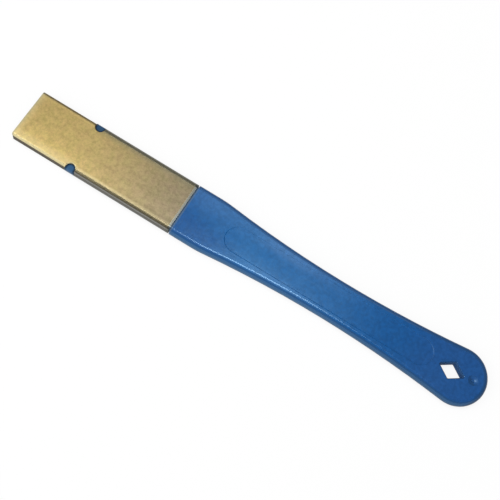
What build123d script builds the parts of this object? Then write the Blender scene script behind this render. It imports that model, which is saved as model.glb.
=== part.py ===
"""Hand-held diamond sharpening hone: a folded, diamond-coated steel plate on a moulded handle.

Two pieces. The handle is one plastic moulding: a waisted grip with a hanging hole, and a core
that runs forward under the plate. The plate is one sheet of steel. Ahead of its two relief
notches its sides are folded square, and behind them they wrap right round the core.

Stations run along the hone from the tip at 0 to the butt. The finished pieces are moved so that
the origin lies under the middle of the hone, on the surface that it rests on. X runs from tip to
butt, Y across, Z up.
"""

import math
import os

from build123d import *

# Overall sizes, in millimetres
overall_length = 182.2
thickness = 4.0
side_flat = 0.2

# Grip outline
shoulder_station = 64.0
shoulder_flat_length = 8.8
grip_width = 20.7
neck_width = 15.0
butt_width = 20.6
shoulder_blend_radius = 40.0

# Folded plate
sheet = 0.6
tail_gap = 0.5
wrap_width = 20.6
lip_length = 1.4
tip_width = 19.6
tip_fold_inside_radius = 0.5
tip_wall_foot = 0.2
tip_corner_radius = 0.6

# Relief notches, one in each side of the plate
notch_station = 23.6
notch_width = 3.4
notch_floor_from_middle = 7.5
notch_flare = 15.0
notch_bevel = 0.3

# Core under the plate
mould_clearance = 0.05
key_clearance = 0.1
core_tip_inset = 0.4

# Hanging hole through the butt
hole_from_butt = 13.2
hole_length = 9.4
hole_width = 6.4
hole_corner_radius = 0.3
hole_rim_round = 0.35

# Shallow panel in the top of the grip
panel_from_shoulder = 16.4
panel_to_hole = 2.7
panel_width = 9.8
panel_depth = 0.15
panel_draft = 60.0

# Mark that the moulding gate left beside the hole
gate_from_butt = 5.4
gate_offset = 0.8
gate_dish_radius = 1.8
gate_dish_depth = 0.45
gate_stub_radius = 0.5
gate_stub_height = 0.3

# Spare length of the cutting bodies, past the faces that they cut
overrun = 1.0

# Radius of the long edges: all of the thickness but the flat that the mould's split leaves
side_round = (thickness - side_flat) / 2


def arc_about(centre, start, end):
    """Return the shorter arc about a centre from one point to another."""
    radius = (start - centre).length
    bisector = ((start - centre) + (end - centre)).normalized()
    return ThreePointArc(start, centre + bisector * radius, end)


def mirrored(point):
    """Return a point of the outline on the other side of the hone's middle line."""
    return Vector(point.X, -point.Y)


def grip_outline():
    """Return the plan of the grip: straight sides, a waist of two long arcs and a round butt."""
    half_grip = grip_width / 2
    half_neck = neck_width / 2
    neck = Vector((shoulder_station + overall_length) / 2, half_neck)
    butt_radius = butt_width / 2
    butt_centre = Vector(overall_length - butt_radius, 0)

    # The rear waist arc runs from the neck and touches the butt circle from outside.
    reach = butt_centre.X - neck.X
    rear_radius = (reach**2 - butt_radius**2 + half_neck**2) / (2 * (butt_radius - half_neck))
    rear_centre = neck + Vector(0, rear_radius)
    rear_end = rear_centre + (butt_centre - rear_centre).normalized() * rear_radius

    # The shoulder blend touches the straight side and, from outside, the front waist arc.
    blend_start = Vector(shoulder_station + shoulder_flat_length, half_grip)
    blend_centre = blend_start - Vector(0, shoulder_blend_radius)
    reach = neck.X - blend_start.X
    drop = half_grip - half_neck
    front_radius = (reach**2 + drop**2) / (2 * drop) - shoulder_blend_radius
    front_centre = neck + Vector(0, front_radius)
    front_start = front_centre + (blend_centre - front_centre).normalized() * front_radius

    shoulder = Vector(shoulder_station, half_grip)
    side = [
        Line(shoulder, blend_start),
        arc_about(blend_centre, blend_start, front_start),
        arc_about(front_centre, front_start, neck),
        arc_about(rear_centre, neck, rear_end),
    ]
    other_side = [edge.mirror(Plane.XZ) for edge in side]
    butt = ThreePointArc(rear_end, Vector(overall_length, 0), mirrored(rear_end))
    heel = Line(mirrored(shoulder), shoulder)
    return make_face(side + other_side + [butt, heel])


def grip_body():
    """Return the grip with its long edges rounded and a flat face at the shoulder."""
    body = extrude(grip_outline(), thickness)
    rims = body.edges().group_by(Axis.Z)[0] + body.edges().group_by(Axis.Z)[-1]
    long_edges = [edge for edge in rims if edge.center().X > shoulder_station + tail_gap]
    return fillet(long_edges, side_round)


def lengthwise(section, start, end):
    """Return a section, drawn across the hone, run from one station to another."""
    return Pos(start, 0, 0) * extrude(section, end - start)


def wrap_section(inset=0.0):
    """Return the full-round section of the hone behind the notches, or one inside it."""
    width = wrap_width - 2 * inset
    height = thickness - 2 * inset
    return Plane.YZ * Pos(0, thickness / 2) * RectangleRounded(width, height, side_round - inset)


def tip_section(inset=0.0, foot=tip_wall_foot):
    """Return the square-sided section of the plate's tip, or one inside it, down to a foot."""
    width = tip_width - 2 * inset
    height = thickness - foot - inset
    block = Rectangle(width, height, align=(Align.CENTER, Align.MIN))
    folds = block.vertices().group_by(Axis.Y)[-1]
    return Plane.YZ * Pos(0, foot) * fillet(folds, tip_fold_inside_radius + sheet - inset)


def underside_slot(half_width, top):
    """Return a section that stands on the resting surface, as wide and high as given."""
    block = Rectangle(2 * half_width, top, align=(Align.CENTER, Align.MIN))
    return Plane.YZ * block


def lip_end():
    """Return how far from the middle line the plate's turned-under lips end."""
    return wrap_width / 2 - side_round - lip_length


def notch_plan(radius):
    """Return the plan of one relief notch: half-round inside, with straight sides that flare out."""
    centre = notch_floor_from_middle + notch_width / 2
    run = wrap_width / 2 + overrun - centre
    lean = math.radians(notch_flare)
    start = Vector(radius * math.cos(lean), -radius * math.sin(lean))
    end = Vector(radius / math.cos(lean) + run * math.tan(lean), run)
    sides = Polygon(start, end, (-end.X, end.Y), (-start.X, start.Y), align=None)
    return Pos(notch_station, centre, 0) * (Circle(radius) + sides)


def notch_column(clearance=0.0):
    """Return the two upright columns that the relief notches cut out of the plate."""
    column = extrude(notch_plan(notch_width / 2 - clearance), thickness)
    return column + mirror(column, Plane.XZ)


def notch_easing():
    """Return the two tapered slices that bevel the upper edges of the relief notches."""
    wide = Pos(0, 0, thickness) * notch_plan(notch_width / 2 + notch_bevel)
    narrow = Pos(0, 0, thickness - notch_bevel) * notch_plan(notch_width / 2)
    slice_between = loft([narrow, wide], ruled=True)
    return slice_between + mirror(slice_between, Plane.XZ)


def notch_span():
    """Return the stations between which the notches lie."""
    return notch_station - notch_width / 2, notch_station + notch_width / 2


def plate():
    """Return the folded steel plate."""
    notch_start, notch_end = notch_span()
    tail = shoulder_station - tail_gap

    # Square folds at the tip, with the corners of the blank rounded.
    tip = lengthwise(tip_section(), 0, notch_station)
    tip -= lengthwise(tip_section(sheet), -overrun, notch_station + overrun)
    length = notch_station + tip_corner_radius
    blank = RectangleRounded(length, tip_width, tip_corner_radius)
    tip &= extrude(Pos(length / 2, 0, 0) * blank, thickness)

    # Full-round sides behind the notches, open underneath between two lips.
    wrap = lengthwise(wrap_section(), notch_station, tail)
    wrap -= lengthwise(wrap_section(sheet), notch_station - overrun, tail + overrun)
    wrap -= lengthwise(underside_slot(lip_end(), thickness / 2), notch_station - overrun, tail + overrun)

    body = tip + wrap
    body -= notch_column()
    body -= notch_easing()
    under_face = underside_slot(wrap_width / 2 + overrun, thickness - sheet)
    return body - lengthwise(under_face, notch_start, notch_end)


def core():
    """Return the part of the moulding that fills the plate."""
    inset = sheet + mould_clearance
    notch_start, notch_end = notch_span()
    wrap_start = notch_end - mould_clearance

    # Square block under the tip, and a full-round one held by the lips behind the notches.
    body = lengthwise(tip_section(inset, foot=0.0), core_tip_inset, wrap_start)
    body += lengthwise(wrap_section(inset), wrap_start, shoulder_station)
    pedestal = underside_slot(lip_end() - mould_clearance, thickness / 2)
    body += lengthwise(pedestal, wrap_start, shoulder_station)

    # Keys that fill the notches out to the sides of the hone, level with the top of the core.
    keys = lengthwise(wrap_section(), notch_start - overrun, notch_end + overrun)
    below = underside_slot(wrap_width, thickness - inset)
    keys &= lengthwise(below, notch_start - overrun, notch_end + overrun)
    return body + (keys & notch_column(key_clearance))


def panel_recess():
    """Return the shallow round-ended recess in the top of the grip."""
    start = shoulder_station + panel_from_shoulder
    end = hole_station() - hole_length / 2 - panel_to_hole
    plan = Pos((start + end) / 2, 0, thickness) * SlotOverall(end - start, panel_width)
    return extrude(plan, -panel_depth, taper=panel_draft)


def hole_station():
    """Return the station of the middle of the hanging hole."""
    return overall_length - hole_from_butt


def hanging_hole():
    """Return the lozenge hole through the butt, widened at both faces by its rounded rim."""
    corners = [(hole_length / 2, 0), (0, hole_width / 2), (-hole_length / 2, 0), (0, -hole_width / 2)]
    lozenge = Polygon(*corners, align=None)
    lozenge = fillet(lozenge.vertices(), hole_corner_radius)
    return extrude(Pos(hole_station(), 0, 0) * lozenge, thickness)


def gate_mark(body):
    """Return the grip with the shallow dish, and the stub in it, that the moulding gate left."""
    ball_radius = (gate_dish_radius**2 + gate_dish_depth**2) / (2 * gate_dish_depth)
    bottom = Pos(overall_length - gate_from_butt, gate_offset, thickness - gate_dish_depth)
    body -= bottom * Pos(0, 0, ball_radius) * Sphere(ball_radius)
    return body + bottom * Cylinder(gate_stub_radius, 2 * gate_stub_height)


def handle():
    """Return the whole moulding: grip, core and keys."""
    grip = grip_body()
    grip -= panel_recess()
    grip -= hanging_hole()
    rims = [edge for edge in grip.edges() if is_hole_rim(edge)]
    grip = fillet(rims, hole_rim_round)
    grip = gate_mark(grip)
    return grip + core()


def is_hole_rim(edge):
    """Return whether an edge of the grip is part of the hanging hole's upper or lower rim."""
    middle = edge.center()
    near_hole = abs(middle.X - hole_station()) < hole_length / 2 + hole_rim_round
    near_middle = abs(middle.Y) < hole_width / 2 + hole_rim_round
    on_face = min(abs(middle.Z), abs(middle.Z - thickness)) < hole_rim_round / 2
    return near_hole and near_middle and on_face


def main():
    """Build both pieces about the hone's own origin and write one file for each."""
    os.makedirs("parts", exist_ok=True)
    to_origin = Pos(-overall_length / 2, 0, 0)
    for name, shape in (("handle", handle()), ("abrasive_plate", plate())):
        export_step(to_origin * shape, f"parts/{name}.step")


if __name__ == "__main__":
    main()
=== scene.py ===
"""The look of a hand-held diamond sharpening hone: its finishes, and the bench, lamps and camera.

The hone lies on its underside with the coated face up, and the origin is under its middle. X runs
from the tip of the plate to the butt of the handle, Y across the hone and Z up, in metres. The near
side is the one towards -Y, and the far side the other one.
"""

import logging
import math
from dataclasses import dataclass, field
from enum import Enum

import bmesh
import bpy
from mathutils import Matrix, Vector


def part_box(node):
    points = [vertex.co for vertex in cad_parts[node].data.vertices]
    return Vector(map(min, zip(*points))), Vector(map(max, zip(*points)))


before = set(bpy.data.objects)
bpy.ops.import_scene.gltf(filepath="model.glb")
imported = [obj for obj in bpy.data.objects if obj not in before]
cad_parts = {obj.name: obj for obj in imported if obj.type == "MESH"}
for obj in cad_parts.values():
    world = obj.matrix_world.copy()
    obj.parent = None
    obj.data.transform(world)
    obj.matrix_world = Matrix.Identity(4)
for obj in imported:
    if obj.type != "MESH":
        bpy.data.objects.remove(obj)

log = logging.getLogger("hone")

Triple = tuple[float, float, float]
Socket = bpy.types.NodeSocket
Wire = Socket | float | Triple
Inputs = dict[str | int, Wire]

MM = 0.001
START_UP_OBJECTS = ("Cube", "Light", "Camera")

# How far behind the tip the two relief notches of the plate, and the keys in them, have their middle
NOTCH_FROM_TIP = 23.6 * MM

# How far a step reaches to each side of its middle
STEP_REACH = 0.1 * MM

# What noise is on average
NOISE_MIDDLE = 0.5

# Where a mix node has the two colours that go in, and the one that comes out
MIX_FIRST = 6
MIX_SECOND = 7
MIX_RESULT = 2


class Node(Enum):
    """The pieces that the hone is made of."""

    HANDLE = "handle"
    PLATE = "abrasive_plate"


class Blend(Enum):
    """The ways in which two colours are put together."""

    MIX = "MIX"
    MULTIPLY = "MULTIPLY"


class Sum(Enum):
    """The sums that are done on values."""

    ADD = "ADD"
    SUBTRACT = "SUBTRACT"
    MULTIPLY = "MULTIPLY"
    MOST = "MAXIMUM"
    SIZE = "ABSOLUTE"
    ROOT = "SQRT"


class Slope(Enum):
    """The ways in which a ramp goes from its low value to its high one."""

    SOFT = "SMOOTHSTEP"
    EVEN = "LINEAR"


@dataclass(frozen=True)
class Ramp:
    """How a value changes while another one goes from a start to an end.

    Attributes:
        start: The other value where the change starts.
        end: The other value where it is complete.
        low: The value before the start.
        high: The value past the end.
        slope: How it goes from low to high.
    """

    start: float
    end: float
    low: float = 0.0
    high: float = 1.0
    slope: Slope = Slope.SOFT


def step(middle: float) -> Ramp:
    """Return a ramp that goes from 0 to 1 at once, round its middle."""
    return Ramp(middle - STEP_REACH, middle + STEP_REACH)


# Nothing on the near half of the hone, and all of an effect on the far one
FAR_HALF = Ramp(-1.0 * MM, 1.0 * MM)


def srgb(red: int, green: int, blue: int) -> Triple:
    """Turn a screen colour, in parts from 0 to 255, into the linear one that shaders use."""
    shares = (red / 255, green / 255, blue / 255)
    return tuple(s / 12.92 if s <= 0.04045 else ((s + 0.055) / 1.055) ** 2.4 for s in shares)


def grey(level: float) -> Triple:
    """Return a grey of a level, where 1 is white."""
    return (level, level, level)


def emptied(owner: bpy.types.Material | bpy.types.World) -> bpy.types.NodeTree:
    """Turn on the nodes of a material or a world, without the ones that it starts with.

    Args:
        owner: The material or the world.

    Returns:
        Its empty node tree.
    """
    owner.use_nodes = True
    owner.node_tree.nodes.clear()
    return owner.node_tree


@dataclass
class Wiring:
    """Lays shader nodes into one node tree.

    Attributes:
        tree: The tree that the nodes go into.
    """

    tree: bpy.types.NodeTree

    def feed(self, node: bpy.types.Node, inputs: Inputs) -> None:
        """Give a node's inputs links or plain values.

        Args:
            node: The node.
            inputs: For an input's name or number, another node's output, a number or a colour.
        """
        for key, value in inputs.items():
            socket = node.inputs[key]
            if isinstance(value, bpy.types.NodeSocket):
                self.tree.links.new(value, socket)
            elif isinstance(value, tuple) and len(value) < len(socket.default_value):
                socket.default_value = (*value, 1.0)
            else:
                socket.default_value = value

    def node(self, kind: str, inputs: Inputs | None = None, **settings: object) -> bpy.types.Node:
        """Add a node.

        Args:
            kind: The node's type name.
            inputs: What goes into its inputs.
            **settings: Properties to set on the node.

        Returns:
            The new node.
        """
        made = self.tree.nodes.new(kind)
        for name, value in settings.items():
            setattr(made, name, value)
        self.feed(made, inputs or {})
        return made

    def math(self, kind: Sum, first: Wire, second: Wire = 0.0, clamp: bool = False) -> Socket:
        """Return the result of a sum on one or two values, kept between 0 and 1 by a clamp."""
        inputs = {0: first, 1: second}
        return self.node("ShaderNodeMath", inputs, operation=kind.value, use_clamp=clamp).outputs[0]

    def plus(self, first: Wire, second: Wire, clamp: bool = False) -> Socket:
        """Return two values added, kept between 0 and 1 by a clamp."""
        return self.math(Sum.ADD, first, second, clamp)

    def minus(self, first: Wire, second: Wire, clamp: bool = False) -> Socket:
        """Return one value less another, kept between 0 and 1 by a clamp."""
        return self.math(Sum.SUBTRACT, first, second, clamp)

    def times(self, first: Wire, second: Wire) -> Socket:
        """Return two values multiplied."""
        return self.math(Sum.MULTIPLY, first, second)

    def most(self, first: Wire, second: Wire) -> Socket:
        """Return the higher of two values."""
        return self.math(Sum.MOST, first, second)

    def size(self, value: Wire) -> Socket:
        """Return a value without its sign."""
        return self.math(Sum.SIZE, value)

    def rest(self, share: Wire) -> Socket:
        """Return what a share leaves of the whole."""
        return self.minus(1.0, share)

    def distance(self, first: Socket, second: Socket) -> Socket:
        """Return the length of a line that reaches so far one way and so far across it."""
        squares = self.plus(self.times(first, first), self.times(second, second))
        return self.math(Sum.ROOT, squares)

    def ramp(self, value: Wire, ramp: Ramp) -> Socket:
        """Return a value that changes along a ramp.

        Args:
            value: The value that the ramp's start and end stand for.
            ramp: The ramp.

        Returns:
            The value between the ramp's low and its high.
        """
        inputs = {
            "Value": value,
            "From Min": ramp.start,
            "From Max": ramp.end,
            "To Min": ramp.low,
            "To Max": ramp.high,
        }
        made = self.node("ShaderNodeMapRange", inputs, interpolation_type=ramp.slope.value)
        return made.outputs["Result"]

    def mix(self, factor: Wire, first: Wire, second: Wire, blend: Blend = Blend.MIX) -> Socket:
        """Return two colours, or two values, put together by a factor.

        Args:
            factor: How much of the second one comes in, from 0 to 1.
            first: The colour that is there.
            second: The colour that comes in.
            blend: How they are put together.

        Returns:
            The colour.
        """
        inputs = {"Factor": factor, MIX_FIRST: first, MIX_SECOND: second}
        made = self.node("ShaderNodeMix", inputs, data_type="RGBA", blend_type=blend.value)
        return made.outputs[MIX_RESULT]

    def axes(self, vector: Socket) -> tuple[Socket, ...]:
        """Return the three parts of a vector."""
        return tuple(self.node("ShaderNodeSeparateXYZ", {0: vector}).outputs)

    def stretched(self, vector: Socket, scale: Triple) -> Socket:
        """Return a place with each axis multiplied."""
        return self.node("ShaderNodeMapping", {"Vector": vector, "Scale": scale}).outputs["Vector"]

    def noise(self, vector: Socket, scale: Wire, detail: float = 2.0, rough: float = 0.5) -> Socket:
        """Return cloudy noise, with clouds of one over the scale in metres."""
        inputs = {"Vector": vector, "Scale": scale, "Detail": detail, "Roughness": rough}
        return self.node("ShaderNodeTexNoise", inputs).outputs["Fac"]

    def grains(self, vector: Socket, scale: float) -> Socket:
        """Return how far a point is from the middle of its grain, one over the scale in metres wide."""
        return self.node("ShaderNodeTexVoronoi", {"Vector": vector, "Scale": scale}).outputs["Distance"]

    def bump(self, height: Socket, depth: float, strength: float) -> Socket:
        """Return a normal raised by a height, by so many metres where the height is 1."""
        inputs = {"Height": height, "Distance": depth, "Strength": strength}
        return self.node("ShaderNodeBump", inputs).outputs["Normal"]

    def group(self, tree: bpy.types.NodeTree, place: Socket, **numbers: float) -> Socket:
        """Return the output of a node group, which is given numbers by the names of its inputs."""
        inputs = {name.replace("_", " ").title(): value for name, value in numbers.items()}
        return self.node("ShaderNodeGroup", {"Place": place, **inputs}, node_tree=tree).outputs[0]

    def straight(self) -> Socket:
        """Return 1 where the camera sees a thing by itself."""
        return self.node("ShaderNodeLightPath").outputs["Is Camera Ray"]

    def mirrored(self) -> Socket:
        """Return 1 where a thing is seen in gloss or through something clear."""
        rays = self.node("ShaderNodeLightPath").outputs
        return self.most(rays["Is Glossy Ray"], rays["Is Transmission Ray"])


@dataclass
class Skin(Wiring):
    """Lays the nodes of one of the hone's finishes, over the point that is being shaded.

    Attributes:
        place: The point, in the hone's own frame.
        along: How far it lies towards the butt from the hone's middle.
        across: How far it lies towards the far side from the middle line.
        up: How high it lies.
        to_butt: How far the surface faces the butt there, from -1 to 1.
        to_far_side: How far it faces the far side.
        upward: How far it faces up.
    """

    place: Socket = field(init=False)
    along: Socket = field(init=False)
    across: Socket = field(init=False)
    up: Socket = field(init=False)
    to_butt: Socket = field(init=False)
    to_far_side: Socket = field(init=False)
    upward: Socket = field(init=False)

    def __post_init__(self) -> None:
        """Add the nodes that give the point and the way that the surface faces."""
        given = self.node("ShaderNodeTexCoord").outputs
        self.place = given["Object"]
        self.along, self.across, self.up = self.axes(self.place)
        self.to_butt, self.to_far_side, self.upward = self.axes(given["Normal"])

    def from_tip(self) -> Socket:
        """Return how far the point lies behind the tip of the plate."""
        return self.minus(self.along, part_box(Node.PLATE.value)[0].x)

    def from_tail(self) -> Socket:
        """Return how far it lies behind the tail of the plate, below 0 on the plate."""
        return self.minus(self.along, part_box(Node.PLATE.value)[1].x)

    def from_butt(self) -> Socket:
        """Return how far it lies ahead of the end of the butt."""
        return self.minus(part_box(Node.HANDLE.value)[1].x, self.along)


def new_group(name: str, numbers: dict[str, float], output: str) -> bpy.types.NodeTree:
    """Start a shader node group that takes a place and numbers and gives a value.

    Args:
        name: The group's name.
        numbers: The names of its number inputs, with their defaults.
        output: The name of its output.

    Returns:
        The group's tree, with its input and output nodes in it.
    """
    tree = bpy.data.node_groups.new(name, "ShaderNodeTree")
    tree.interface.new_socket("Place", in_out="INPUT", socket_type="NodeSocketVector")
    for label, default in numbers.items():
        socket = tree.interface.new_socket(label, in_out="INPUT", socket_type="NodeSocketFloat")
        socket.default_value = default
    tree.interface.new_socket(output, in_out="OUTPUT", socket_type="NodeSocketFloat")
    tree.nodes.new("NodeGroupInput")
    tree.nodes.new("NodeGroupOutput")
    return tree


@dataclass
class Effects:
    """Shader groups for what the plastic and the steel share.

    Attributes:
        line_stretch: How the rubbed lines are drawn out along the hone.
        line_width: The values of the noise between which a line starts and is whole.
        patch_edge: The same for the patches that the lines lie in.
        clouds: How the noise of a mottle is spread from -1 to 1.
        scuffs: The group of fine rubbed lines.
        mottle: The group of soft unevenness.
    """

    line_stretch: Triple = (0.035, 1.0, 1.0)
    line_width: Ramp = Ramp(0.60, 0.72)
    patch_edge: Ramp = Ramp(0.45, 0.65)
    clouds: Ramp = Ramp(0.3, 0.7, -1.0, 1.0, Slope.EVEN)
    scuffs: bpy.types.NodeTree = field(init=False)
    mottle: bpy.types.NodeTree = field(init=False)

    def __post_init__(self) -> None:
        """Build the groups."""
        self.scuffs = self.build_scuffs()
        self.mottle = self.build_mottle()

    def build_scuffs(self) -> bpy.types.NodeTree:
        """Build the group of fine rubbed lines along the hone, broken up into patches.

        Returns:
            The group, with a mask as its output.
        """
        tree = new_group("Rubbed lines", {"Line Scale": 2600.0, "Patch Scale": 60.0}, "Mask")
        wiring = Wiring(tree)
        given = tree.nodes["Group Input"].outputs
        drawn_out = wiring.stretched(given["Place"], self.line_stretch)
        lines = wiring.ramp(wiring.noise(drawn_out, given["Line Scale"]), self.line_width)
        patches = wiring.ramp(wiring.noise(given["Place"], given["Patch Scale"]), self.patch_edge)
        wiring.feed(tree.nodes["Group Output"], {"Mask": wiring.times(lines, patches)})
        return tree

    def build_mottle(self) -> bpy.types.NodeTree:
        """Build the group of soft unevenness at two scales.

        Returns:
            The group, with a value from -1 to 1 as its output.
        """
        numbers = {"Broad Scale": 60.0, "Fine Scale": 700.0, "Fine Share": 0.4}
        tree = new_group("Soft mottle", numbers, "Value")
        wiring = Wiring(tree)
        given = tree.nodes["Group Input"].outputs
        broad = wiring.ramp(wiring.noise(given["Place"], given["Broad Scale"]), self.clouds)
        fine = wiring.ramp(wiring.noise(given["Place"], given["Fine Scale"]), self.clouds)
        share = wiring.times(wiring.minus(fine, broad), given["Fine Share"])
        wiring.feed(tree.nodes["Group Output"], {"Value": wiring.plus(broad, share)})
        return tree


@dataclass(frozen=True)
class Finish:
    """What every finish has: a name, and a way of making its material.

    Attributes:
        name: The material's name.
    """

    name: str

    def build(self, effects: Effects) -> bpy.types.Material:
        """Make the material.

        Args:
            effects: The groups that the finishes share.

        Returns:
            The material.
        """
        material = bpy.data.materials.new(self.name)
        skin = Skin(emptied(material))
        surface = skin.node("ShaderNodeBsdfPrincipled", self.looks(skin, effects))
        skin.node("ShaderNodeOutputMaterial", {"Surface": surface.outputs["BSDF"]})
        return material

    def looks(self, skin: Skin, effects: Effects) -> Inputs:
        """Work out what goes into the surface shader, in each finish's own way."""
        raise NotImplementedError


@dataclass(frozen=True)
class MouldedPlastic(Finish):
    """Satin blue plastic, as it comes from the mould, with painted light and shade in its colour.

    The flats carry painted light: palest in the middle of the hone and deeper towards its ends,
    with a painted sheen at the far side of the grip and towards both its long edges. The rounded
    sides carry painted shade, with a painted reflection low down and a painted highlight where they
    start to turn down. The hanging hole and the gate mark are dull and carry painted shade, and so
    do the keys that fill the plate's relief notches.
    """

    name: str = "Moulded plastic"
    # Painted light on the flats: pale in the middle of the hone, colour towards its ends
    colour: Triple = srgb(14, 73, 136)
    pale: Triple = srgb(14, 89, 150)
    # A painted sheen on the flats, at the far side and towards the long edges of the grip
    painted_sheen: Triple = srgb(84, 124, 174)
    # Painted shade on the rounded sides, greyer low down as a painted reflection, darker round the butt
    side: Triple = srgb(30, 76, 128)
    side_low: Triple = srgb(62, 98, 133)
    side_dark: Triple = srgb(22, 48, 82)
    butt: Triple = srgb(27, 76, 136)
    # Painted shade on the walls of the hanging hole
    deep: Triple = srgb(33, 82, 136)
    # Painted shade on the keys, which lie below the plate's face in its notches
    key_shade: Triple = srgb(48, 84, 122)
    # Painted shade round the rims of the hanging hole and of the keys
    shaded: Triple = srgb(14, 26, 42)
    grime: Triple = srgb(84, 102, 124)
    # A painted highlight along the long edges, where they start to turn down
    edge_highlight: Triple = srgb(170, 200, 235)

    # The plastic's own surface
    refraction: float = 1.46
    gloss: float = 0.8
    gloss_tint: Triple = (0.44, 0.74, 1.0)
    roughness: Ramp = Ramp(-1.0, 1.0, 0.16, 0.23, Slope.EVEN)
    scuff_roughness: float = 0.04
    side_roughness: float = 0.04
    dull_roughness: float = 0.6
    gate_dullness: float = 0.5
    panel_dullness: float = 0.6
    broad_mottle: float = 45.0
    fine_mottle: float = 420.0
    scuff_scale: float = 1800.0
    grain_scale: float = 900.0
    grain_detail: float = 3.0
    grain_depth: float = 0.012 * MM
    grain_strength: float = 0.5
    grain_shade: Ramp = Ramp(0.35, 0.65, 0.88, 1.12, Slope.EVEN)

    # The flats' painted light and sheen, at places along the hone from its middle and across it
    paler_before_middle: Ramp = Ramp(-36.3 * MM, 3.0 * MM, 0.15, 1.0)
    deeper_behind_middle: Ramp = Ramp(0.0, 82.0 * MM, slope=Slope.EVEN)
    deeper_at_shoulder: Ramp = Ramp(5.0 * MM, -15.0 * MM)
    deeper_at_near_side: Ramp = Ramp(2.0 * MM, -7.0 * MM, 0.0, 0.6)
    cloud: Ramp = Ramp(-1.0, 1.0, -0.08, 0.08, Slope.EVEN)
    sheen_before_butt: Ramp = Ramp(55.0 * MM, 20.0 * MM, 0.0, 0.3)
    sheen_at_far_side: Ramp = Ramp(-1.0 * MM, 8.0 * MM)
    grip_sheen_behind: Ramp = Ramp(-4.0 * MM, 8.0 * MM)
    grip_sheen_before: Ramp = Ramp(34.0 * MM, 12.0 * MM)
    grip_sheen_far: Ramp = Ramp(2.0 * MM, 4.5 * MM, 0.0, 0.35)
    grip_sheen_near: Ramp = Ramp(-3.2 * MM, -5.2 * MM, 0.0, 0.2)
    butt_fade: Ramp = Ramp(55.0 * MM, 75.0 * MM)

    # The rounded sides, with their painted shade and reflection and the painted highlight where they
    # turn down, at places along the hone, heights and ways that they face
    outside_flats: Ramp = Ramp(5.0 * MM, 5.5 * MM)
    outside_butt: Ramp = Ramp(7.0 * MM, 6.0 * MM)
    turns_down: Ramp = Ramp(0.97, 0.86)
    turns_sooner: Ramp = Ramp(0.0, 0.12, 0.0, 0.09)
    butt_counts: float = 0.7
    low_down: Ramp = Ramp(3.8 * MM, 2.5 * MM, slope=Slope.EVEN)
    darker_to_butt: Ramp = Ramp(20.0 * MM, 70.0 * MM, 0.0, 0.3)
    darker_round_butt: Ramp = Ramp(0.2, 0.9, 0.0, 0.85)
    highlight_starts: Ramp = Ramp(0.9995, 0.992)
    highlight_ends: Ramp = Ramp(0.90, 0.96)
    highlight_near: Ramp = Ramp(45.0 * MM, 15.0 * MM, 0.0, 0.05)
    highlight_far: Ramp = Ramp(72.0 * MM, 55.0 * MM, 0.012, 0.055)

    # The hanging hole and the gate mark, with their painted shade, and the panel, with places from
    # the end of the butt
    hole_ahead: Ramp = Ramp(19.5 * MM, 19.0 * MM)
    hole_behind: Ramp = Ramp(7.4 * MM, 7.8 * MM)
    hole_wall: Ramp = Ramp(0.94, 0.6)
    hole_rim: Ramp = Ramp(0.999, 0.93)
    panel_wall: Ramp = Ramp(0.98, 0.93)
    gate_from_butt: float = 5.4 * MM
    gate_offset: float = 0.8 * MM
    gate_edge: Ramp = Ramp(2.34 * MM, 1.44 * MM)
    gate_shade: Ramp = Ramp(0.15, 0.4, 0.0, 0.5)

    # The joint and the keys' painted shade, with places from the tail of the plate, heights and
    # distances
    joint: Ramp = Ramp(1.1 * MM, 0.6 * MM, 0.0, 0.75)
    under_plate: Ramp = Ramp(0.0, -10.0 * MM)
    key_height: Ramp = Ramp(1.675 * MM, 3.35 * MM)
    key_centre: float = 9.2 * MM
    key_rim: Ramp = Ramp(0.8 * MM, 1.5 * MM, 0.0, 0.85)
    key_far_shade: float = 0.4

    def looks(self, skin: Skin, effects: Effects) -> Inputs:
        """Work out what goes into the surface shader.

        Args:
            skin: The material's nodes.
            effects: The groups that the finishes share.

        Returns:
            The inputs that aren't left as they are.
        """
        uneven = skin.group(
            effects.mottle, skin.place, broad_scale=self.broad_mottle, fine_scale=self.fine_mottle
        )
        grain = skin.noise(skin.place, self.grain_scale, self.grain_detail)
        walls = self.by_hole(skin, self.hole_wall)
        flats = self.flat_colour(skin, uneven, grain)
        colour = skin.mix(self.rounding(skin), flats, self.side_colour(skin))
        colour = skin.mix(self.edge_highlight_band(skin), colour, self.edge_highlight)
        colour = self.mark_colour(skin, walls, colour)
        return {
            "Base Color": self.key_colour(skin, colour),
            "Roughness": self.unevenly_rough(skin, effects, uneven, walls),
            "Normal": skin.bump(grain, self.grain_depth, self.grain_strength),
            "IOR": self.refraction,
            "Specular IOR Level": self.gloss,
            "Specular Tint": self.gloss_tint,
        }

    def flat_colour(self, skin: Skin, uneven: Socket, grain: Socket) -> Socket:
        """Return the colour of the flats, with painted light: palest in the middle of the hone,
        deeper towards its ends and at the near side of the shoulder, and with a painted sheen.

        Args:
            skin: The material's nodes.
            uneven: A soft unevenness, from -1 to 1.
            grain: A fine one, from 0 to 1.

        Returns:
            The colour.
        """
        # Painted light: palest in the middle of the hone, deeper towards its ends and near the
        # shoulder's near side
        before = skin.ramp(skin.along, self.paler_before_middle)
        behind = skin.ramp(skin.along, self.deeper_behind_middle)
        shoulder = skin.ramp(skin.along, self.deeper_at_shoulder)
        deeper = skin.times(skin.ramp(skin.across, self.deeper_at_near_side), shoulder)
        paler = skin.minus(skin.minus(before, behind), deeper)
        paler = skin.plus(paler, skin.ramp(uneven, self.cloud), clamp=True)
        colour = skin.mix(paler, self.colour, self.pale)

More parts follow.
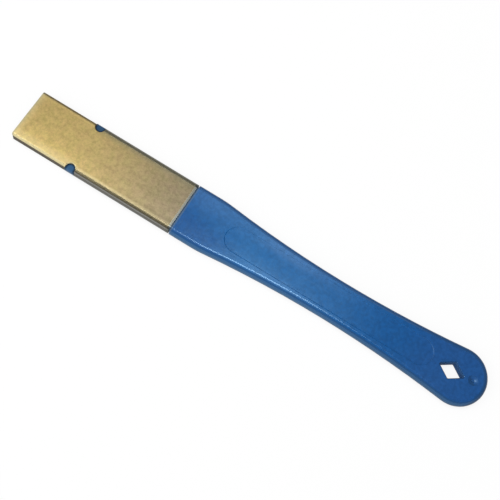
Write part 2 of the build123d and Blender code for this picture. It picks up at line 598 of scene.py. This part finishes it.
        # A painted sheen at the far side, and towards both long edges along the grip's middle
        far_sheen = skin.ramp(skin.along, self.sheen_before_butt)
        far_sheen = skin.times(far_sheen, skin.ramp(skin.across, self.sheen_at_far_side))
        colour = skin.mix(far_sheen, colour, self.painted_sheen)
        grip_sheen = skin.ramp(skin.along, self.grip_sheen_behind)
        grip_sheen = skin.times(grip_sheen, skin.ramp(skin.along, self.grip_sheen_before))
        beside = skin.ramp(skin.across, self.grip_sheen_far)
        beside = skin.most(beside, skin.ramp(skin.across, self.grip_sheen_near))
        colour = skin.mix(skin.times(grip_sheen, beside), colour, self.painted_sheen)

        colour = skin.mix(skin.ramp(skin.along, self.butt_fade), colour, self.butt)
        return skin.mix(1.0, colour, skin.ramp(grain, self.grain_shade), Blend.MULTIPLY)

    def side_colour(self, skin: Skin) -> Socket:
        """Return the painted shade of the rounded sides: greyer low down, as a painted reflection
        of the bench, and darker towards and round the butt.

        Args:
            skin: The material's nodes.

        Returns:
            The colour.
        """
        colour = skin.mix(skin.ramp(skin.up, self.low_down), self.side, self.side_low)
        darker = skin.ramp(skin.along, self.darker_to_butt)
        darker = skin.most(darker, skin.ramp(skin.to_butt, self.darker_round_butt))
        return skin.mix(darker, colour, self.side_dark)

    def mark_colour(self, skin: Skin, walls: Socket, colour: Socket) -> Socket:
        """Return a colour with painted shade in the gate mark's dish, on the hanging hole's walls
        and round its rim.

        Args:
            skin: The material's nodes.
            walls: The mask of the hole's walls.
            colour: The colour before.

        Returns:
            The colour.
        """
        # Painted shade on the side of the gate mark's dish that faces the butt
        dish = skin.ramp(skin.to_butt, self.gate_shade)
        colour = skin.mix(skin.times(dish, self.gate(skin)), colour, self.side_dark)
        # Painted shade on the hole's walls, and a painted dark outline round its rim
        colour = skin.mix(walls, colour, self.deep)
        rim = skin.minus(self.by_hole(skin, self.hole_rim), walls, clamp=True)
        return skin.mix(rim, colour, self.shaded)

    def key_colour(self, skin: Skin, colour: Socket) -> Socket:
        """Return a colour grimy at the shoulder, with painted shade on the keys that is darkest
        round their rims and on the far key.

        Args:
            skin: The material's nodes.
            colour: The colour before.

        Returns:
            The colour.
        """
        from_tail = skin.from_tail()
        colour = skin.mix(skin.ramp(from_tail, self.joint), colour, self.grime)
        on_key = skin.ramp(from_tail, self.under_plate)
        on_key = skin.times(on_key, skin.ramp(skin.up, self.key_height))
        colour = skin.mix(on_key, colour, self.key_shade)

        # Painted shadow of the plate's edge round the rims of the keys, and painted shade on the far
        # key
        inward = skin.most(skin.minus(self.key_centre, skin.size(skin.across)), 0.0)
        sideways = skin.minus(skin.from_tip(), NOTCH_FROM_TIP)
        rim = skin.ramp(skin.distance(inward, sideways), self.key_rim)
        far = skin.times(skin.ramp(skin.across, FAR_HALF), self.key_far_shade)
        return skin.mix(skin.times(on_key, skin.most(rim, far)), colour, self.shaded)

    def unevenly_rough(self, skin: Skin, effects: Effects, uneven: Socket, walls: Socket) -> Socket:
        """Return the roughness: more in the scuffs and on the sides, most in the hole and the marks.

        Args:
            skin: The material's nodes.
            effects: The groups that the finishes share.
            uneven: A soft unevenness, from -1 to 1.
            walls: The mask of the hole's walls.

        Returns:
            The roughness.
        """
        scuffs = skin.group(effects.scuffs, skin.place, line_scale=self.scuff_scale)
        satin = skin.ramp(uneven, self.roughness)
        satin = skin.plus(satin, skin.times(scuffs, self.scuff_roughness))
        satin = skin.plus(satin, skin.times(self.rounding(skin), self.side_roughness))
        dull = skin.most(walls, skin.times(self.gate(skin), self.gate_dullness))
        dull = skin.most(dull, skin.times(self.by_panel(skin), self.panel_dullness))
        return skin.most(satin, skin.times(dull, self.dull_roughness))

    def outside(self, skin: Skin) -> Socket:
        """Return 1 outside the grip's flats and round its butt, and 0 round the hanging hole."""
        beside = skin.ramp(skin.size(skin.across), self.outside_flats)
        return skin.most(beside, skin.ramp(skin.from_butt(), self.outside_butt))

    def rounding(self, skin: Skin) -> Socket:
        """Return 1 where the long edges turn down and take painted shade, sooner at the far side
        and round the butt.

        Args:
            skin: The material's nodes.

        Returns:
            The mask.
        """
        away = skin.plus(skin.to_far_side, skin.times(skin.to_butt, self.butt_counts))
        level = skin.minus(skin.size(skin.upward), skin.ramp(away, self.turns_sooner))
        return skin.times(self.outside(skin), skin.ramp(level, self.turns_down))

    def edge_highlight_band(self, skin: Skin) -> Socket:
        """Return the painted highlight on the long edges, where they start to turn down.

        Args:
            skin: The material's nodes.

        Returns:
            The mask.
        """
        band = skin.ramp(skin.upward, self.highlight_starts)
        band = skin.times(band, skin.ramp(skin.upward, self.highlight_ends))
        band = skin.times(band, self.outside(skin))
        band = skin.times(band, skin.rest(self.gate(skin)))
        near = skin.ramp(skin.along, self.highlight_near)
        far = skin.ramp(skin.along, self.highlight_far)
        return skin.times(band, skin.mix(skin.ramp(skin.across, FAR_HALF), near, far))

    def by_hole(self, skin: Skin, steepness: Ramp) -> Socket:
        """Return 1 where the surface is steep round the hanging hole.

        Args:
            skin: The material's nodes.
            steepness: How the mask rises as the surface gets less level.

        Returns:
            The mask.
        """
        from_butt = skin.from_butt()
        near_hole = skin.ramp(from_butt, self.hole_ahead)
        near_hole = skin.times(near_hole, skin.ramp(from_butt, self.hole_behind))
        near_hole = skin.times(near_hole, skin.rest(self.outside(skin)))
        return skin.times(near_hole, skin.ramp(skin.size(skin.upward), steepness))

    def by_panel(self, skin: Skin) -> Socket:
        """Return 1 on the sloping wall round the grip's shallow panel.

        Args:
            skin: The material's nodes.

        Returns:
            The mask.
        """
        before_hole = skin.rest(skin.ramp(skin.from_butt(), self.hole_ahead))
        inside = skin.times(before_hole, skin.rest(self.outside(skin)))
        return skin.times(inside, skin.ramp(skin.upward, self.panel_wall))

    def gate(self, skin: Skin) -> Socket:
        """Return 1 in the duller mark that the moulding gate left.

        Args:
            skin: The material's nodes.

        Returns:
            The mask.
        """
        lengthwise = skin.minus(skin.from_butt(), self.gate_from_butt)
        sideways = skin.minus(skin.across, self.gate_offset)
        return skin.ramp(skin.distance(lengthwise, sideways), self.gate_edge)


@dataclass(frozen=True)
class CoatedSteel(Finish):
    """Plated steel sheet with a sandy diamond coating on its working face.

    The coating covers the flat of the face. Behind the relief notches it stops where the sides
    start to turn down, and ahead of them it runs over the fold. Bare plating shows on the sides,
    underneath, and along a narrow margin at the tail. Painted light and shade lie in the colours:
    highlights at the near edges, shade at the far ones and in the notches, and shade towards the
    handle.
    """

    name: str = "Coated steel"
    grit: Triple = srgb(236, 209, 138)
    # Painted shade: the coating darker and greyer towards the handle
    grit_in_shade: Triple = srgb(175, 161, 132)
    speck: Triple = (0.42, 0.42, 0.40)
    reddish: Triple = (1.02, 0.99, 1.02)
    greenish: Triple = (0.985, 1.01, 0.96)
    # Painted shade at the far edge of the coating behind the notches
    far_edge_shade: Triple = srgb(132, 128, 108)
    # Painted highlight on the near fold, near edges and near bevels, and the paler front edge
    rim: Triple = srgb(255, 241, 190)
    # Painted shade on the far fold of the tip and on the far bevels
    rim_shade: Triple = srgb(146, 133, 104)
    # The paler front edge of the tip
    rubbed: Triple = srgb(196, 192, 160)
    wall: Triple = srgb(110, 99, 76)
    # Painted shade on the cut faces of the notches
    cut: Triple = srgb(58, 54, 46)
    stain: Triple = srgb(150, 140, 110)
    stain_far: Triple = srgb(186, 182, 156)
    bare: Triple = srgb(146, 145, 140)
    margin: Triple = srgb(124, 127, 121)

    # The surface, from the bare plating to the coating
    roughness: Ramp = Ramp(0.0, 1.0, 0.3, 0.5)
    grain_scale: float = 5200.0
    lump_scale: float = 2200.0
    lump_detail: float = 3.0
    lump_rough: float = 0.65
    bump_depth: float = 0.03 * MM
    bump_strength: float = 0.6

    # Where the coating lies, with places from the tip and the tail, across, and heights
    behind_notches: Ramp = step(NOTCH_FROM_TIP)
    on_face: Ramp = step(3.0 * MM)
    coat_edge: Ramp = Ramp(8.95 * MM, 8.25 * MM)
    ragged_reach: float = 0.5 * MM
    ragged_scale: float = 900.0
    bare_margin: Ramp = step(-0.75 * MM)

    # The coating's own tones, and its painted light and shade along and across it
    greyer_to_tail: Ramp = Ramp(10.0 * MM, 70.0 * MM)
    speck_scales: tuple[float, float] = (900.0, 2400.0)
    speck_depth: Ramp = Ramp(-1.0, 0.5, 0.42, 0.0, Slope.EVEN)
    patch_scales: tuple[float, float] = (330.0, 900.0)
    patch_shade: Ramp = Ramp(-1.0, 1.0, 0.97, 1.09, Slope.EVEN)
    tinge_scale: float = 420.0
    tinge_share: Ramp = Ramp(0.35, 0.65, slope=Slope.EVEN)
    dimmer_to_far_side: Ramp = Ramp(-7.0 * MM, 7.0 * MM, 0.80, 0.71, Slope.EVEN)
    near_glow: Ramp = Ramp(-1.0 * MM, -7.5 * MM, 1.0, 1.13)
    near_edge: Ramp = Ramp(-5.0 * MM, -7.5 * MM)
    near_edge_shade: Ramp = Ramp(10.0 * MM, 60.0 * MM, 0.08, -0.17, Slope.EVEN)

    # The painted highlights and shade at the edges of the square-folded tip, and its paler front
    # edge, across and from its front
    near_fold: Ramp = Ramp(-8.75 * MM, -9.5 * MM)
    near_fold_glow: Ramp = Ramp(-5.5 * MM, -8.5 * MM, 0.0, 0.25)
    far_crest: Ramp = Ramp(7.5 * MM, 8.2 * MM, 0.0, 0.25)
    far_fold: Ramp = Ramp(8.3 * MM, 8.9 * MM, 0.0, 0.6)
    front_glow: Ramp = Ramp(3.0 * MM, 0.5 * MM, 0.0, 0.2)
    front_paling: Ramp = Ramp(0.9 * MM, 0.3 * MM, 0.0, 0.55)

    # The painted shade at the far edge of the wrapped part and the painted highlight at its near
    # edge, across and from the tail
    far_edge_darkening: Ramp = Ramp(6.0 * MM, 9.2 * MM, 0.0, 0.6)
    near_line: Ramp = Ramp(-7.3 * MM, -8.3 * MM)
    near_line_share: Ramp = Ramp(-30.0 * MM, 0.0, 0.4, 0.15, Slope.EVEN)

    # The painted shade on the cut faces of the notches and the painted highlight and shade on
    # their bevels, with their reach along and across, and the ways that they face
    notch_reach: Ramp = step(2.8 * MM)
    notch_floor: Ramp = step(8.2 * MM)
    turned: Ramp = Ramp(0.15, 0.35)
    tilted: Ramp = Ramp(0.95, 0.85)
    steep: Ramp = Ramp(0.6, 0.4)

    # The bare sides, with a painted dark reflection line along them, at heights
    scuff_scale: float = 3200.0
    scuff_patches: float = 90.0
    scuff_share: float = 0.3
    line_above: Ramp = Ramp(2.6 * MM, 2.85 * MM)
    line_below: Ramp = Ramp(3.2 * MM, 3.0 * MM)
    line_share: float = 0.35
    stained: Ramp = Ramp(3.4 * MM, 3.75 * MM)

    def looks(self, skin: Skin, effects: Effects) -> Inputs:
        """Work out what goes into the surface shader.

        Args:
            skin: The material's nodes.
            effects: The groups that the finishes share.

        Returns:
            The inputs that aren't left as they are.
        """
        behind = skin.ramp(skin.from_tip(), self.behind_notches)
        coated = self.coated(skin, behind)
        grit = self.grit_colour(skin, effects)
        grit = skin.mix(behind, self.tip_edges(skin, grit), self.wrap_edges(skin, grit))
        colour = skin.mix(coated, self.metal_colour(skin, effects, behind), grit)
        grains = skin.grains(skin.place, self.grain_scale)
        lumps = skin.noise(skin.place, self.lump_scale, self.lump_detail, self.lump_rough)
        height = skin.times(skin.plus(grains, lumps), coated)
        return {
            "Base Color": self.notch_colour(skin, colour),
            "Roughness": skin.ramp(coated, self.roughness),
            "Metallic": 1.0,
            "Normal": skin.bump(height, self.bump_depth, self.bump_strength),
        }

    def coated(self, skin: Skin, behind: Socket) -> Socket:
        """Return 1 where the coating lies, and 0 on the bare plating.

        Args:
            skin: The material's nodes.
            behind: 1 behind the relief notches and 0 ahead of them.

        Returns:
            The mask.
        """
        ragged = skin.minus(skin.noise(skin.place, self.ragged_scale), NOISE_MIDDLE)
        edge = skin.plus(skin.size(skin.across), skin.times(ragged, self.ragged_reach))
        before_margin = skin.rest(skin.ramp(skin.from_tail(), self.bare_margin))
        bare = skin.rest(skin.times(skin.ramp(edge, self.coat_edge), before_margin))
        covered = skin.rest(skin.times(behind, bare))
        return skin.times(covered, skin.ramp(skin.up, self.on_face))

    def grit_colour(self, skin: Skin, effects: Effects) -> Socket:
        """Return the colour of the coating: sandy, with painted shade that makes it darker and greyer
        towards the handle and dimmer at the far side, and painted light at the near side.

        Args:
            skin: The material's nodes.
            effects: The groups that the finishes share.

        Returns:
            The colour.
        """
        from_tip = skin.from_tip()
        # Painted shade, darker and greyer towards the handle
        colour = skin.mix(skin.ramp(from_tip, self.greyer_to_tail), self.grit, self.grit_in_shade)

        broad, fine = self.speck_scales
        specks = skin.group(effects.mottle, skin.place, broad_scale=broad, fine_scale=fine)
        dark = skin.ramp(specks, self.speck_depth)
        colour = skin.mix(dark, colour, self.speck, Blend.MULTIPLY)
        broad, fine = self.patch_scales
        patches = skin.group(effects.mottle, skin.place, broad_scale=broad, fine_scale=fine)
        colour = skin.mix(1.0, colour, skin.ramp(patches, self.patch_shade), Blend.MULTIPLY)
        share = skin.ramp(skin.noise(skin.place, self.tinge_scale), self.tinge_share)
        tinge = skin.mix(share, self.reddish, self.greenish)
        colour = skin.mix(1.0, colour, tinge, Blend.MULTIPLY)

        # Painted shade towards the far side; painted light towards the near side and by the tip's near
        # edge
        level = skin.ramp(skin.across, self.dimmer_to_far_side)
        level = skin.times(level, skin.ramp(skin.across, self.near_glow))
        near_edge = skin.ramp(skin.across, self.near_edge)
        near_edge = skin.times(near_edge, skin.ramp(from_tip, self.near_edge_shade))
        level = skin.times(level, skin.plus(1.0, near_edge))
        return skin.mix(1.0, colour, level, Blend.MULTIPLY)

    def tip_edges(self, skin: Skin, colour: Socket) -> Socket:
        """Return the coating's colour at the tip: painted highlights on the near fold and the far
        crest, painted shade on the far fold, and a paler front edge.

        Args:
            skin: The material's nodes.
            colour: The colour before.

        Returns:
            The colour.
        """
        # Painted highlight on the near fold and far crest, painted shade on the far fold
        near = skin.ramp(skin.across, self.near_fold)
        near = skin.most(near, skin.ramp(skin.across, self.near_fold_glow))
        colour = skin.mix(near, colour, self.rim)
        colour = skin.mix(skin.ramp(skin.across, self.far_crest), colour, self.grit)
        colour = skin.mix(skin.ramp(skin.across, self.far_fold), colour, self.rim_shade)
        from_tip = skin.from_tip()
        colour = skin.mix(skin.ramp(from_tip, self.front_glow), colour, self.rim)
        return skin.mix(skin.ramp(from_tip, self.front_paling), colour, self.rubbed)

    def wrap_edges(self, skin: Skin, colour: Socket) -> Socket:
        """Return the coating's colour behind the notches: a painted highlight along the near edge
        and painted shade at the far one.

        Args:
            skin: The material's nodes.
            colour: The colour before.

        Returns:
            The colour.
        """
        colour = skin.mix(skin.ramp(skin.across, self.far_edge_darkening), colour, self.far_edge_shade)
        line = skin.ramp(skin.across, self.near_line)
        line = skin.times(line, skin.ramp(skin.from_tail(), self.near_line_share))
        return skin.mix(line, colour, self.rim)

    def metal_colour(self, skin: Skin, effects: Effects, behind: Socket) -> Socket:
        """Return the colour of the bare plating, with a darker wall under the folds of the tip, darker
        scuffs, and a painted dark reflection line along the sides.

        Args:
            skin: The material's nodes.
            effects: The groups that the finishes share.
            behind: 1 behind the relief notches and 0 ahead of them.

        Returns:
            The colour.
        """
        scuffs = skin.group(
            effects.scuffs, skin.place, line_scale=self.scuff_scale, patch_scale=self.scuff_patches
        )
        # A painted dark reflection line along the bare sides
        line = skin.ramp(skin.up, self.line_above)
        line = skin.times(line, skin.ramp(skin.up, self.line_below))
        scuffs_and_reflection_line = skin.times(scuffs, self.scuff_share)
        scuffs_and_reflection_line = skin.most(scuffs_and_reflection_line, skin.times(line, self.line_share))
        sides = skin.mix(scuffs_and_reflection_line, self.bare, self.wall)
        stain = skin.mix(skin.ramp(skin.across, FAR_HALF), self.stain, self.stain_far)
        sides = skin.mix(skin.ramp(skin.up, self.stained), sides, stain)
        metal = skin.mix(behind, self.wall, sides)
        return skin.mix(skin.ramp(skin.from_tail(), self.bare_margin), metal, self.margin)

    def notch_colour(self, skin: Skin, colour: Socket) -> Socket:
        """Return a colour with painted shade on the cut steel of the relief notches, a painted
        highlight on the near bevels and painted shade on the far ones.

        Args:
            skin: The material's nodes.
            colour: The colour before.

        Returns:
            The colour.
        """
        off = skin.size(skin.minus(skin.from_tip(), NOTCH_FROM_TIP))
        by_notch = skin.rest(skin.ramp(off, self.notch_reach))
        tilted = skin.ramp(skin.upward, self.tilted)
        inner = skin.rest(skin.ramp(skin.size(skin.across), self.notch_floor))
        turned = skin.ramp(skin.size(skin.to_butt), self.turned)
        on_cut = skin.times(tilted, skin.most(turned, skin.times(inner, tilted)))
        # Painted highlight on the near bevels, painted shade on the far ones
        bevel = skin.mix(skin.ramp(skin.across, FAR_HALF), self.rim, self.rim_shade)
        face = skin.mix(skin.ramp(skin.upward, self.steep), bevel, self.cut)
        return skin.mix(skin.times(by_notch, on_cut), colour, face)


@dataclass
class Hone:
    """The hone itself: a moulded handle and a folded, coated plate.

    Attributes:
        effects: The shader groups that its finishes share.
    """

    effects: Effects

    def dress(self, node: Node, finish: Finish) -> None:
        """Give a piece its finish.

        Args:
            node: The piece.
            finish: Its finish.
        """
        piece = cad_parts[node.value]
        piece.data.materials.clear()
        piece.data.materials.append(finish.build(self.effects))
        log.info("%s: %s, %d faces", node.value, finish.name, len(piece.data.polygons))

    def build(self) -> None:
        """Dress both pieces."""
        self.dress(Node.HANDLE, MouldedPlastic())
        self.dress(Node.PLATE, CoatedSteel())


@dataclass
class Bench:
    """The plain white surface that the hone lies on.

    Attributes:
        size: The length of its sides.
        own_light: The share of its white that the lamps don't make, as the camera sees it.
        gloss_light: The same share in reflections, where the hone's own shade shows more.
        paint: The share of light that it throws back.
        gloss_paint: The same share in reflections.
    """

    size: float = 6.0
    own_light: float = 0.86
    gloss_light: float = 0.1
    paint: float = 0.92
    gloss_paint: float = 0.45

    def finish(self) -> bpy.types.Material:
        """Make its material.

        Returns:
            The material.
        """
        material = bpy.data.materials.new("Bench white")
        wiring = Wiring(emptied(material))
        mirrored = wiring.mirrored()
        paint = wiring.mix(mirrored, grey(self.paint), grey(self.gloss_paint))
        lit = wiring.node("ShaderNodeBsdfDiffuse", {"Color": paint}).outputs["BSDF"]
        glow = wiring.node("ShaderNodeEmission").outputs["Emission"]
        share = wiring.times(wiring.straight(), self.own_light)
        share = wiring.most(share, wiring.times(mirrored, self.gloss_light))
        both = wiring.node("ShaderNodeMixShader", {0: share, 1: lit, 2: glow})
        wiring.node("ShaderNodeOutputMaterial", {"Surface": both.outputs["Shader"]})
        return material

    def build(self) -> None:
        """Lay the surface under the hone."""
        shape = bmesh.new()
        bmesh.ops.create_grid(shape, x_segments=1, y_segments=1, size=self.size / 2)
        mesh = bpy.data.meshes.new("bench_top")
        shape.to_mesh(mesh)
        shape.free()
        mesh.materials.append(self.finish())
        top = bpy.data.objects.new("bench_top", mesh)
        bpy.context.scene.collection.objects.link(top)


@dataclass
class Room:
    """The white room round the bench, which reflections show dimmer overhead and in front.

    Attributes:
        white: The level of the background, where 1 is white.
        fill: The level at which it lights the hone, from the far side to above the near one.
        slope_up: How much that goes by how high the light comes from.
        slope_back: How much it goes by how far back it comes from.
        over: The level that reflections show of it, from over the tip to over the butt.
        front_level: The level of the dark gap in front.
        front: Where that gap starts, from back to front.
        front_height: Where it starts, from low to high.
        back_level: The level behind the hone.
        back: Where that starts, from front to back.
        wall: Where it is white low down, from high to low.
        wall_back: Where that white ends, from back to front.
    """

    white: float = 1.0
    fill: Ramp = Ramp(-0.3, 1.0, 0.15, 1.0)
    slope_up: float = 0.75
    slope_back: float = 0.6
    over: Ramp = Ramp(-0.45, 0.35, 0.46, 0.14)
    front_level: float = 0.14
    front: Ramp = Ramp(-0.25, -0.45)
    front_height: Ramp = Ramp(0.25, 0.5)
    back_level: float = 0.16
    back: Ramp = Ramp(0.45, 0.65)
    wall: Ramp = Ramp(0.50, 0.28)
    wall_back: Ramp = Ramp(0.3, -0.3)

    def reflected(self, wiring: Wiring, direction: tuple[Socket, ...]) -> Socket:
        """Return the level that reflections show.

        Args:
            wiring: The world's nodes.
            direction: How far a ray goes towards the butt, towards the back and up.

        Returns:
            The level.
        """
        sideways, back, height = direction
        level = wiring.ramp(sideways, self.over)
        in_front = wiring.times(wiring.ramp(back, self.front), wiring.ramp(height, self.front_height))
        level = wiring.mix(in_front, level, grey(self.front_level))
        level = wiring.mix(wiring.ramp(back, self.back), level, grey(self.back_level))
        low = wiring.times(wiring.ramp(height, self.wall), wiring.ramp(back, self.wall_back))
        return wiring.mix(low, level, grey(self.white))

    def build(self) -> None:
        """Put the room round the scene: plain white where the camera sees it by itself."""
        world = bpy.data.worlds.new("White room")
        bpy.context.scene.world = world
        wiring = Wiring(emptied(world))
        direction = wiring.axes(wiring.node("ShaderNodeTexCoord").outputs["Generated"])
        _, back, height = direction
        lift = wiring.times(height, self.slope_up)
        slope = wiring.minus(lift, wiring.times(back, self.slope_back))
        fill = wiring.ramp(slope, self.fill)
        level = wiring.mix(wiring.mirrored(), fill, self.reflected(wiring, direction))
        level = wiring.mix(wiring.straight(), level, grey(self.white))
        light = wiring.node("ShaderNodeBackground", {"Color": level})
        wiring.node("ShaderNodeOutputWorld", {"Surface": light.outputs["Background"]})


@dataclass(frozen=True)
class Lamp:
    """A soft rectangular lamp that points at the hone.

    Attributes:
        name: Its name.
        place: Where it stands.
        aim: The point that it faces.
        width: Its length along the hone.
        depth: Its length across the hone.
        power: Its power in watts.
    """

    name: str
    place: Triple
    aim: Triple
    width: float
    depth: float
    power: float

    def build(self) -> None:
        """Hang the lamp."""
        light = bpy.data.lights.new(self.name, "AREA")
        light.shape = "RECTANGLE"
        light.size = self.width
        light.size_y = self.depth
        light.energy = self.power
        lamp = bpy.data.objects.new(self.name, light)
        bpy.context.scene.collection.objects.link(lamp)
        ray = Vector(self.aim) - Vector(self.place)
        lamp.location = self.place
        lamp.rotation_euler = ray.to_track_quat("-Z", "Y").to_euler()


LAMPS = (
    Lamp(
        name="overhead",
        place=(-0.028, 0.086, 0.60),
        aim=(-0.028, 0.0, 0.0),
        width=0.13,
        depth=0.14,
        power=0.92,
    ),
    Lamp(
        name="left",
        place=(-0.50, -0.25, 0.50),
        aim=(-0.05, 0.0, 0.0),
        width=0.40,
        depth=0.40,
        power=1.4,
    ),
)


@dataclass(frozen=True)
class Viewpoint:
    """Where the camera stands to take the picture.

    Attributes:
        aim: The point in the middle of the picture.
        azimuth: How far round from the near side to the butt it stands, in degrees.
        elevation: How far above the bench it stands, in degrees.
        distance: How far from the aim it stands.
        turn: How far it is turned about its own axis, in degrees.
        lens: Its focal length in millimetres.
        film: The width of its film in millimetres.
        nearest: How near to it things still show.
    """

    aim: Triple = (-0.00064, -0.00084, 0.004)
    azimuth: float = 11.635
    elevation: float = 69.616
    distance: float = 0.33874
    turn: float = 20.43
    lens: float = 72.0
    film: float = 36.0
    nearest: float = 0.01

    def build(self) -> None:
        """Set the camera up."""
        camera = bpy.data.cameras.new("camera")
        camera.lens = self.lens
        camera.sensor_width = self.film
        camera.clip_start = self.nearest
        stand = bpy.data.objects.new("camera", camera)
        bpy.context.scene.collection.objects.link(stand)
        around = math.radians(self.azimuth)
        above = math.radians(self.elevation)
        level_ray = Vector((math.sin(around), -math.cos(around), 0.0))
        away = level_ray * math.cos(above) + Vector((0.0, 0.0, math.sin(above)))
        place = Vector(self.aim) + away * self.distance
        level = (-away).to_track_quat("-Z", "Y").to_matrix().to_4x4()
        turned = level @ Matrix.Rotation(math.radians(self.turn), 4, "Z")
        stand.matrix_world = Matrix.Translation(place) @ turned
        bpy.context.scene.camera = stand


def clear_start_up() -> None:
    """Take away the objects that a new file starts with."""
    for name in START_UP_OBJECTS:
        thing = bpy.data.objects.get(name)
        if thing is not None:
            bpy.data.objects.remove(thing)


def main() -> None:
    """Build the scene."""
    logging.basicConfig(level=logging.INFO, format="%(name)s: %(message)s")
    clear_start_up()
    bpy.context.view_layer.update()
    Hone(Effects()).build()
    Bench().build()
    Room().build()
    for lamp in LAMPS:
        lamp.build()
    Viewpoint().build()
    bpy.context.scene.view_settings.view_transform = "Standard"


if __name__ == "__main__":
    main()
